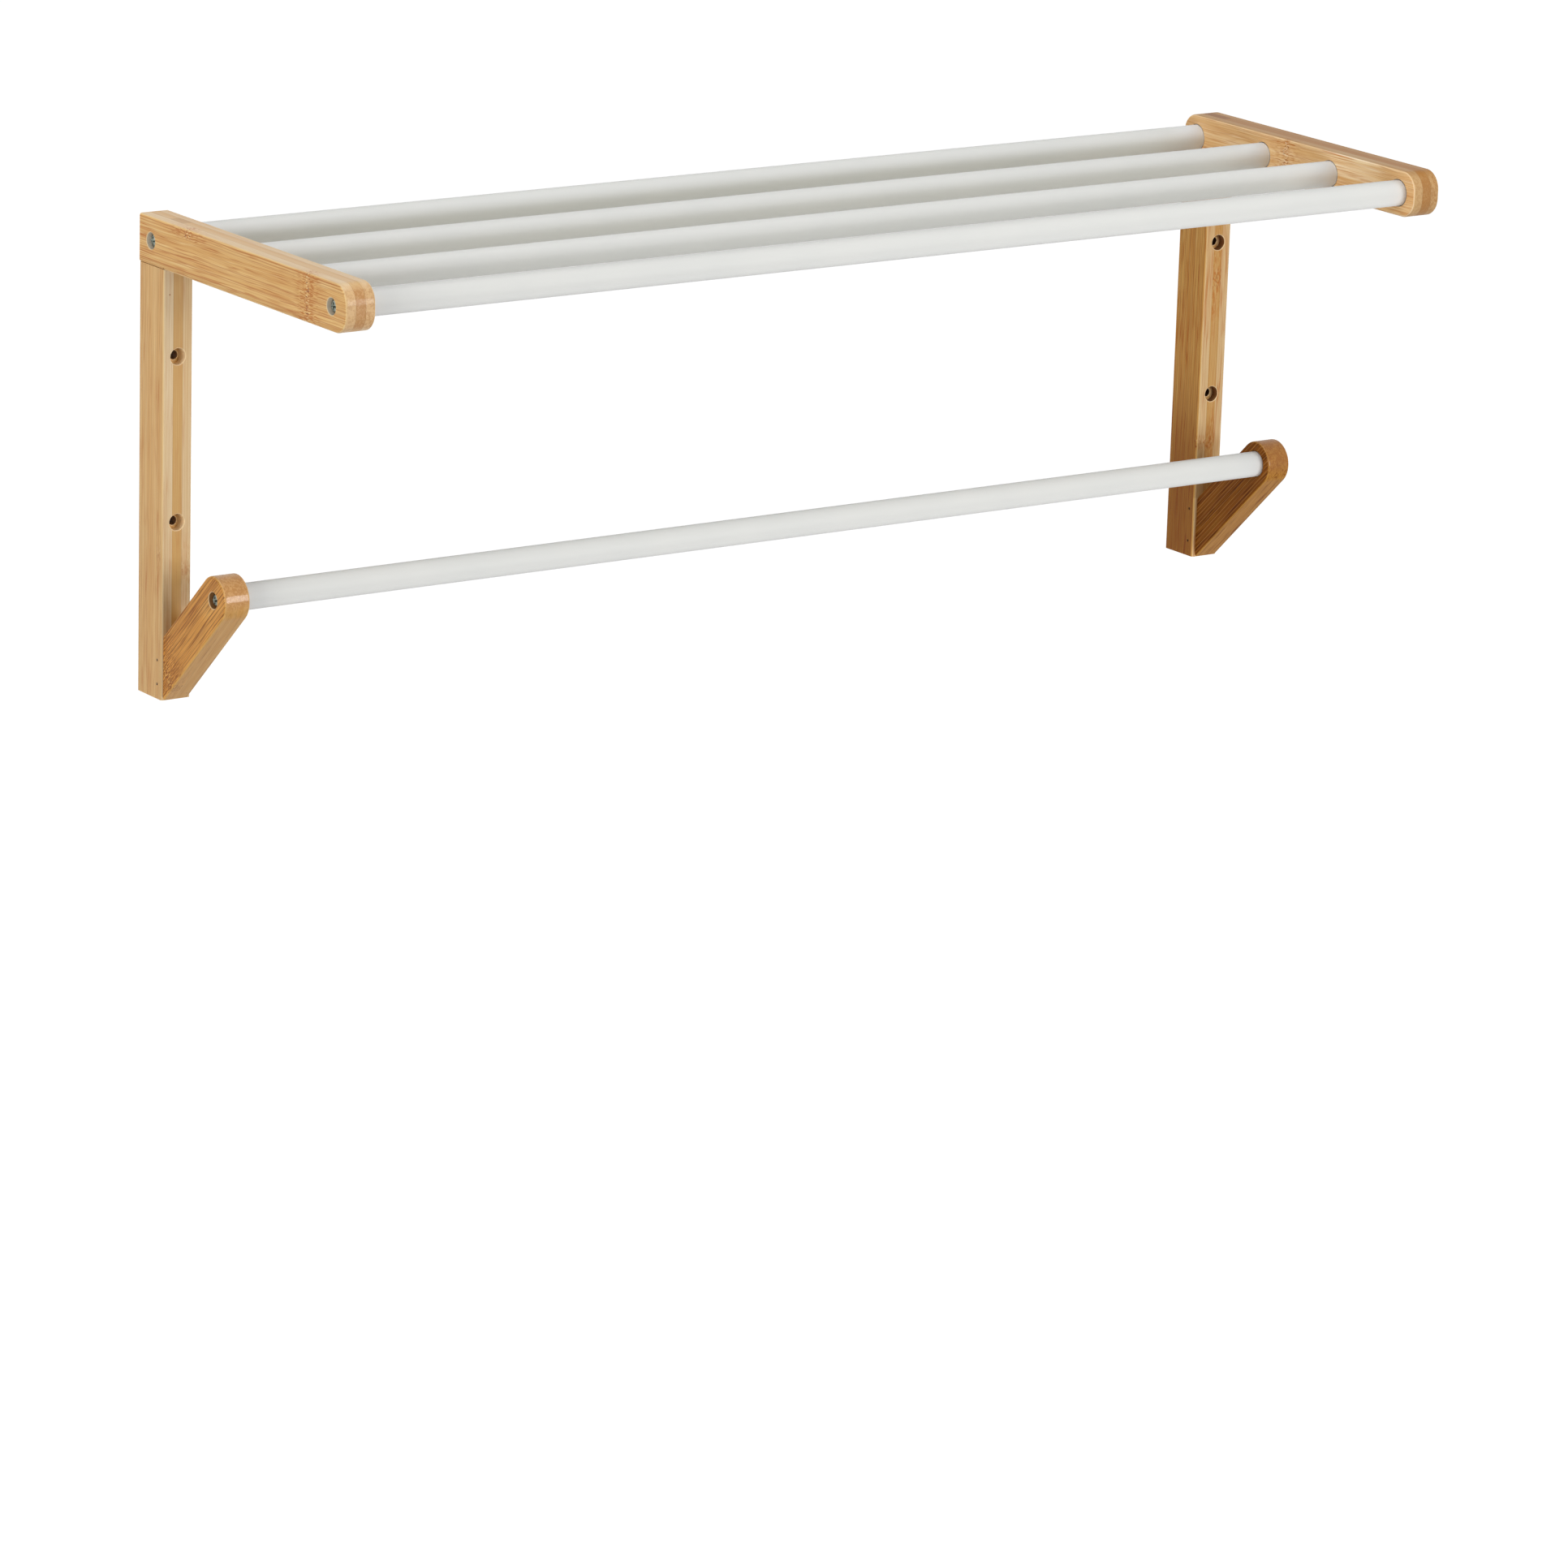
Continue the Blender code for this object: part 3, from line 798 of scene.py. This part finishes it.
for number, name in enumerate(("left_arm", "right_arm")):
    low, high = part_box(name)
    radius = arm_end_radius
    quarter = math.pi / 2
    steps = arm_corner_steps
    outline = [(high.y, low.z)]
    sawn_sides = ()
    if name == "right_arm":
        outline += arc((high.y - radius, high.z - radius), radius, 0, quarter, steps)
    else:
        outline += [(high.y, high.z)]
        sawn_sides = (0,)
    outline += arc((low.y + radius, high.z - radius), radius, quarter, 2 * quarter, steps)
    outline += arc((low.y + radius, low.z + radius), radius, 2 * quarter, 3 * quarter, steps)
    arm = sanded_bar(name + "_bar", outline, sawn_sides, low.x, high.x)
    outward = -along_rods if name == "left_arm" else along_rods
    holes = [rod_hole(rod, low, high, outward) for rod in shelf_rods]
    drill(arm, holes + [dowel_hole(name.split("_")[0])])
    wood = Bamboo(name, wall_normal, upward, low.x, arm_seed + number, **arm_looks[name])
    if name == "left_arm":
        for drop, strength in left_arm_lines:
            wood.line(high.z - drop, strength, wood.streak)
        whole_bar = (low.y - beyond_bar, high.y)
        wood.patch(0, whole_bar, (low.z, low.z + 0.0028), strength=0.22, fade=0.01)
        wood.knot(0, -0.147, reach=0.0024, strength=1.05)
        upper_part = (high.z - 0.0045, high.z + over_edge)
        wood.knot(0, -0.043, reach=0.0036, strength=1.0, across=upper_part)
        wood.patch(1, (-0.03, -0.018), (low.z, high.z + over_edge), strength=0.4)
        wood.spot((low.x, -0.0215, low.z), radius=0.0009)
    else:
        wood.knot(0, -0.081, reach=0.0026, strength=0.7)
        wood.patch(1, (-0.025, -0.007), (low.z, high.z + over_edge), strength=0.6)
        upper_part = (0.2095, high.z)
        wood.patch(0, (-0.150, -0.112), upper_part, strength=0.8, fade=0.012, veil=wood.bleached)
        wood.spot((low.x, -0.0135, 0.2125), radius=0.0006)
    for rod in ("shelf_rod_1", "shelf_rod_4"):
        y, z, rod_radius = rod_place(rod)
        wood.bore((low.x, y, z), along_rods, rod_mouth_radius, bore_painted_light, strength=0.9)
    stand_for(arm, name, wood.build())


# Hooks
# Two short bars that slant up and out from the uprights' lower ends to hold the towel rod.
# They are bamboo too, planed to 13 mm, round at the upper end and mitred at the lower one,
# which is glued and nailed to the upright's front face.
hook_end_steps = 40
hook_seed = 23.0
hook_streak = shade(152, 104, 60)
# Painted shade on the wall of the hook's screw counterbore.
hook_bore_painted_shade = shade(160, 112, 70)
# On the right hook the left face's tint is painted shade, far darker than the wood.
hook_looks = {
    "left_hook": {
        "tints": ((0.92, 0.69, 0.34), (0.83, 0.70, 0.46), (0.88, 0.74, 0.48), (1.00, 0.88, 0.62)),
        "veining": (1.6, 0.3),
        "sheen": 0.15,
    },
    "right_hook": {
        "tints": ((0.315, 0.165, 0.028), (0.78, 0.62, 0.38), (0.69, 0.5, 0.21), (0.63, 0.45, 0.17)),
        "veining": (2.0, 0.7),
        "sheen": 0.05,
    },
}
even_plies = {"ply_gold": (0.6, 0.6, 0.6), "gloss": 0.6, "glue": 0.0}

# Veins on the left faces: distance above the towel rod's middle, and strength.
hook_lines = (
    (-0.0094, 0.5),
    (-0.0079, 0.7),
    (-0.0061, 0.45),
    (-0.0043, 0.75),
    (-0.0020, 0.55),
    (0.0004, 0.8),
    (0.0019, 0.5),
    (0.0037, 0.75),
    (0.0055, 0.6),
    (0.0068, 0.8),
    (0.0089, 0.6),
)
hook_line_half_width = 0.00014
hook_line_colours = {"left_hook": shade(136, 82, 38), "right_hook": shade(178, 124, 70)}

for number, name in enumerate(("left_hook", "right_hook")):
    side_name = name.split("_")[0]
    low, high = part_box(name)
    rod_y, rod_z, rod_radius = rod_place("towel_rod")
    half_width = high.z - rod_z
    corner = Vector((high.y, low.z))
    to_rod = Vector((rod_y, rod_z)) - corner
    slope = math.atan2(to_rod.y, -to_rod.x) - math.asin(half_width / to_rod.length)
    glue_height = 2 * half_width / math.cos(slope)
    upper_side = math.pi / 2 - slope
    glued = high.y + joint_closing
    outline = [(glued, low.z), (glued, glue_height)]
    outline += arc((rod_y, rod_z), half_width, upper_side, upper_side + math.pi, hook_end_steps)
    hook = sanded_bar(name + "_bar", outline, (0,), low.x, high.x)
    outward = -along_rods if side_name == "left" else along_rods
    upright_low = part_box(side_name + "_upright")[0]
    rod_socket = rod_hole("towel_rod", low, high, outward)
    drill(hook, [rod_socket] + brad_holes(side_name, upright_low))
    grain = Vector((0, -math.cos(slope), math.sin(slope)))
    across = Vector((0, math.sin(slope), math.cos(slope)))
    look = {**hook_looks[name], **even_plies}
    wood = Bamboo(name, grain, across, low.x, hook_seed + number, **look)
    wood.streak = hook_streak
    rod_side = across.dot(Vector((0, rod_y, rod_z)))
    for offset, strength in hook_lines:
        wood.line(rod_side + offset, strength, hook_line_colours[name], hook_line_half_width)
    if name == "left_hook":
        wood.knot(0, 0.027, reach=0.0036, strength=1.0)
        speck = Vector((low.x + 0.0105, high.y, low.z)) + grain * 0.004
        wood.spot(speck, radius=0.0004)
    wood.bore((low.x, rod_y, rod_z), along_rods, rod_mouth_radius, hook_bore_painted_shade, strength=0.8)
    stand_for(hook, name, wood.build())


# Dowels and brads
# One beech dowel ties each arm to the top of its upright, and two thin steel brads pin each
# hook to its upright. All are glued or driven in, and only the brads' pin holes show.
beech_ray_width = 0.0004
beech_ray_length = 0.006


def own_material(name, material):
    """Give a CAD node that is shown as it is a material of its own."""
    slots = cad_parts[name].data.materials
    slots.clear()
    slots.append(material)


for name in ("left_joint_dowel", "right_joint_dowel"):
    beech = Finish(name + "_beech", Roughness=0.65)
    position = beech.add("TexCoord", output="Object")
    x = beech.dot(position, along_rods)
    y = beech.dot(position, wall_normal)
    z = beech.dot(position, upward)
    rays = beech.vector(x / beech_ray_width, y / beech_ray_width, z / beech_ray_length)
    rays = beech.noise(rays, 2.0)
    colour = beech.mix(beech.ease(rays, 0.4, 0.6), shade(214, 182, 146), shade(190, 150, 112))
    own_material(name, beech.surface(Base_Color=colour))

for side_name in ("left", "right"):
    for number in (1, 2):
        name = f"{side_name}_brad_{number}"
        # Painted shade: the steel is coloured near black brown, for the dark of the pin holes.
        steel = Finish(name + "_steel", Metallic=0.4)
        position = steel.add("TexCoord", output="Object")
        brad_mottle = steel.noise(steel.scaled(position, 3000.0), 1.0)
        colour = steel.mix(brad_mottle, shade(30, 19, 11), shade(50, 35, 23))
        own_material(name, steel.surface(Base_Color=colour, Roughness=brad_mottle * 0.2 + 0.3))


# Rods
# Four shelf rods and the towel rod are steel tubes, 12 mm with their white powder coat. Each
# sits in blind sockets of the two side frames, which clamp it end to end.
rod_facets = 96
tube_wall = 0.001
rod_rim_round = 0.0003
rim_steps = 3
coat_white = shade(228, 228, 224)
coat_cloud = shade(222, 223, 220)
coat_rubbed = shade(252, 252, 250)
rubbed_half_widths = (0.0003, 0.0006)
end_tone_start = 0.022
end_tone_full = 0.002


def powder_coat(name, mouths, painted_shading):
    """Satin white powder coat with a faint orange peel, rubbed bright where it enters a socket.

    The tones are painted light and shade: the upper side's, the lower side's, how far down
    the surface looks where the one turns into the other, from -1 at the top to 1 below, and
    the tone towards the ends.
    """
    upper_painted_tone, lower_painted_tone, turn_start, turn_end, end_painted_tone = painted_shading
    coat = Finish(name, Specular_IOR_Level=0.35)
    position = coat.add("TexCoord", output="Object")
    peel = coat.noise(coat.scaled(position, 900.0), 1.0, 1.0)
    cloud = coat.noise(coat.scaled(position, 40.0), 5.0, 1.0)
    along = coat.dot(position, along_rods)
    colour = coat.mix(cloud, coat_white, coat_cloud)
    for mouth in mouths:
        rubbed = 1 - coat.ease(abs(along - mouth), *rubbed_half_widths)
        colour = coat.mix(rubbed, colour, coat_rubbed)
    # Painted light and shade: the lower side gets another tone than the upper one, the ends another
    # again.
    downward = coat.dot(coat.add("NewGeometry", output="Normal"), -upward)
    turned_down = coat.ease(downward, turn_start, turn_end)
    painted_tone = coat.mix(turned_down, (*upper_painted_tone, 1.0), (*lower_painted_tone, 1.0))
    colour = coat.tinted(colour, painted_tone)
    right_mouth = mouths[1]
    near_end = coat.ease(abs(along), right_mouth - end_tone_start, right_mouth - end_tone_full)
    colour = coat.tinted(colour, coat.mix(near_end, no_tint, (*end_painted_tone, 1.0)))
    bump = coat.add("Bump", None, {"Strength": 0.1, "Distance": 0.00005, "Height": peel})
    return coat.surface(Base_Color=colour, Roughness=peel * 0.1 + 0.5, Normal=bump)


# Each rod's painted light and shade, as powder_coat takes them.
rod_painted_shading = {
    "shelf_rod_1": ((0.96, 0.96, 0.96), (0.93, 0.92, 0.85), -0.75, 0.35, (1.12, 1.15, 1.22)),
    "shelf_rod_2": ((0.95, 0.95, 0.95), (0.98, 0.97, 0.91), -0.75, 0.35, (1.06, 1.09, 1.14)),
    "shelf_rod_3": ((0.97, 0.97, 0.97), (1.08, 1.08, 1.05), -0.75, 0.35, (1.0, 1.03, 1.08)),
    "shelf_rod_4": ((0.88, 0.88, 0.88), (1.11, 1.11, 1.12), -0.3, 0.9, (0.97, 0.98, 1.0)),
    "towel_rod": ((0.92, 0.92, 0.92), (1.16, 1.16, 1.17), -0.3, 0.9, (0.97, 0.98, 1.0)),
}

for name in shelf_rods + ["towel_rod"]:
    low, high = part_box(name)
    y, z, outer = rod_place(name)
    inner = outer - tube_wall
    length = high.x - low.x
    rim = []
    for step in range(rim_steps + 1):
        angle = math.pi / 2 * step / rim_steps
        setback = rod_rim_round * (1 - math.cos(angle))
        rim.append((setback, outer - rod_rim_round * (1 - math.sin(angle))))
    far_rim = [(length - setback, radius) for setback, radius in reversed(rim)]
    profile = [(0, inner)] + rim + far_rim + [(length, inner)]
    tube = placed(turned(profile, rod_facets, closed=True), (low.x, y, z), along_rods)
    rod = as_piece(name + "_tube", tube)
    bar = "hook" if name == "towel_rod" else "arm"
    mouths = (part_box("left_" + bar)[1].x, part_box("right_" + bar)[0].x)
    white = powder_coat(name + "_white_coat", mouths, rod_painted_shading[name])
    stand_for(rod, name, white)


# Plugs
# Each rod end that a screw goes into is closed by a moulded nylon plug, which the screw
# bites into. The plugs are pressed into the tubes and don't show.
for side_name in ("left", "right"):
    for label in ("rear", "front", "towel"):
        name = f"{side_name}_{label}_rod_plug"
        nylon = Finish(name + "_nylon", Roughness=0.5, Subsurface_Weight=0.05)
        position = nylon.add("TexCoord", output="Object")
        grain = nylon.noise(nylon.scaled(position, 1500.0), 3.0)
        colour = nylon.mix(grain, shade(206, 205, 198), shade(216, 215, 209))
        own_material(name, nylon.surface(Base_Color=colour, Roughness=grain * 0.1 + 0.42))


# Screws
# Zinc plated pan head screws with a cross recess hold the rear, front and towel rods at both
# ends. The head is cold formed and the thread is rolled. Each sits deep in its counterbore,
# with its head on the floor.
screw_facets = 48
head_height = 0.0026
head_rise = 0.0009
shank_radius = 0.00175
thread_depth = 0.0004
thread_pitch = 0.0013
thread_steps = 8
plain_shank = 0.0035
point_length = 0.0035
recess_half_span = 0.0019
recess_half_blade = 0.00045
recess_depth = 0.0011
recess_floor_share = 0.55
thread_sharp = math.radians(30)
head_curve = (
    (0.0, 0.0),
    (0.01, 0.45),
    (0.06, 0.63),
    (0.16, 0.80),
    (0.32, 0.93),
    (0.5, 0.99),
    (0.6, 1.0),
    (0.92, 1.0),
    (1.0, 0.96),
)


def screw_shape(length, head_radius):
    """A pan head screw along Z: domed head, plain neck, rolled thread and point."""
    rings = []
    for depth_share, radius_share in head_curve:
        ring = circle(head_radius * radius_share, head_height * depth_share, screw_facets)
        rings.append(ring)
    root = shank_radius - thread_depth
    rings += [circle(root, along, screw_facets) for along in (head_height, plain_shank)]
    threaded = length - plain_shank
    count = int(threaded / thread_pitch * thread_steps)
    for step in range(1, count + 1):
        along = plain_shank + threaded * step / count
        grown = min(1.0, (along - plain_shank) / thread_pitch, (length - along) / thread_pitch)
        narrowed = min(1.0, (length - along) / point_length)
        ring = []
        for facet in range(screw_facets):
            angle = math.tau * facet / screw_facets
            phase = (along / thread_pitch - angle / math.tau) % 1.0
            ridge = max(0.0, 1 - abs(phase - 0.5) * 4)
            radius = (root + thread_depth * ridge * grown) * narrowed
            ring.append((radius * math.cos(angle), radius * math.sin(angle), along))
        rings.append(ring)
    shape = bmesh.new()
    skin_rings(shape, rings)
    return shape


def cross_recess():
    """The punch that leaves the recess: a plus shape that narrows towards its floor."""
    reach = recess_half_span
    blade = recess_half_blade
    arm_outline = ((reach, -blade), (reach, blade), (blade, blade))
    outline = []
    for quarter in range(4):
        turn = Matrix.Rotation(quarter * math.pi / 2, 2)
        outline += [turn @ Vector(point) for point in arm_outline]
    shape = bmesh.new()
    above = [(x, y, -cut_overrun) for x, y in outline]
    mouth = [(x, y, 0.0) for x, y in outline]
    floor = [(x * recess_floor_share, y * recess_floor_share, recess_depth) for x, y in outline]
    skin_rings(shape, [above, mouth, floor])
    return shape


for side_name in ("left", "right"):
    for label in ("rear", "front", "towel"):
        name = f"{side_name}_{label}_rod_screw"
        low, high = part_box(name)
        head_radius = (high.z - low.z) / 2
        outer_x = low.x if side_name == "left" else high.x
        inward = along_rods if side_name == "left" else -along_rods
        head_middle = Vector((outer_x, (low.y + high.y) / 2, (low.z + high.z) / 2))
        crown = head_middle - inward * head_rise
        body = placed(screw_shape(high.x - low.x + head_rise, head_radius), crown, inward)
        screw = as_piece(name + "_threaded", body, thread_sharp)
        cut_away(screw, [placed(cross_recess(), crown, inward)])
        zinc = Finish(name + "_zinc", Metallic=1.0)
        position = zinc.add("TexCoord", output="Object")
        # Painted glints and dark reflections: the zinc is mottled dark and light, and darker in
        # patches.
        cloud = zinc.noise(zinc.scaled(position, 1200.0), 4.0)
        zinc_dark_patches = zinc.ease(zinc.noise(zinc.scaled(position, 500.0), 9.0), 0.4, 0.6)
        colour = zinc.mix(cloud, shade(96, 106, 94), shade(192, 198, 188))
        colour = zinc.mix(zinc_dark_patches * 0.6, colour, shade(66, 72, 60))
        plated = zinc.surface(Base_Color=colour, Roughness=cloud * 0.2 + 0.2)
        stand_for(screw, name, plated)


# The studio
# A pale floor as far below the rack as a room's, three softboxes in front of the rack, at its
# left and above it, and even light from all around.
floor_drop = 1.2
floor_reach = 60.0
pale_floor = (0.6, 0.6, 0.6, 1.0)
floor_glow = 0.85
ambient = 0.3

shape = bmesh.new()
bmesh.ops.create_grid(shape, x_segments=1, y_segments=1, size=floor_reach)
floor = as_piece("floor", placed(shape, (0, 0, -floor_drop), upward))


def seen_directly(nodes):
    """1 for what the camera sees, also by way of gloss or glass, and 0 for other light."""
    seen = nodes.add("LightPath", output="Is Camera Ray")
    seen = seen + nodes.add("LightPath", output="Is Glossy Ray")
    return seen + nodes.add("LightPath", output="Is Transmission Ray")


screed = Finish(
    "pale_floor",
    Base_Color=pale_floor,
    Roughness=0.9,
    Specular_IOR_Level=0.0,
    Emission_Strength=floor_glow,
)
floor.data.materials.append(screed.surface(Emission_Color=seen_directly(screed)))

world = bpy.data.worlds.new("room_light")
bpy.context.scene.world = world
room = Nodes(world)
background = room.tree.nodes["Background"]
background.inputs["Color"].default_value = (1, 1, 1, 1)
room.feed(background.inputs["Strength"], seen_directly(room) * (1 - ambient) + ambient)


def softbox(name, place, target, size, power):
    """A square area light that points from a place to a target."""
    light = bpy.data.lights.new(name, "AREA")
    light.shape = "SQUARE"
    light.size = size
    light.energy = power
    lamp = bpy.data.objects.new(name, light)
    bpy.context.scene.collection.objects.link(lamp)
    lamp.location = place
    lamp.rotation_euler = (Vector(target) - Vector(place)).to_track_quat("-Z", "Y").to_euler()
    lamp.visible_camera = False


rack_middle = (0, -0.09, 0.11)
softbox("front", (0.85, -2.3, 0.40), rack_middle, size=1.1, power=36.0)
softbox("left", (-7.0, -1.4, 0.7), rack_middle, size=3.6, power=220.0)
softbox("top", (0.0, -0.3, 2.2), rack_middle, size=1.2, power=19.0)


# The view
# The photograph's view, from the front left and a little above, with a long lens. Its place,
# turns and lens come from a fit of a pinhole camera to the edges of the bars and rods.
lens = 164.68
sensor = 36.0
view_azimuth = math.radians(34.7078)
view_elevation = math.radians(15.6468)
view_roll = math.radians(1.7550)
camera_place = Vector((-1.84760, -2.75188, 0.84531))

forward = Vector((
    math.sin(view_azimuth) * math.cos(view_elevation),
    math.cos(view_azimuth) * math.cos(view_elevation),
    -math.sin(view_elevation),
))
level_right = Vector((math.cos(view_azimuth), -math.sin(view_azimuth), 0))
level_up = level_right.cross(forward)
right = math.cos(view_roll) * level_right + math.sin(view_roll) * level_up
up = math.cos(view_roll) * level_up - math.sin(view_roll) * level_right
camera_data = bpy.data.cameras.new("camera")
camera_data.lens = lens
camera_data.sensor_width = sensor
camera = bpy.data.objects.new("camera", camera_data)
bpy.context.scene.collection.objects.link(camera)
turned_view = Matrix((right, up, -forward)).transposed().to_4x4()
camera.matrix_world = Matrix.Translation(camera_place) @ turned_view
bpy.context.scene.camera = camera
bpy.context.scene.view_settings.view_transform = "Standard"
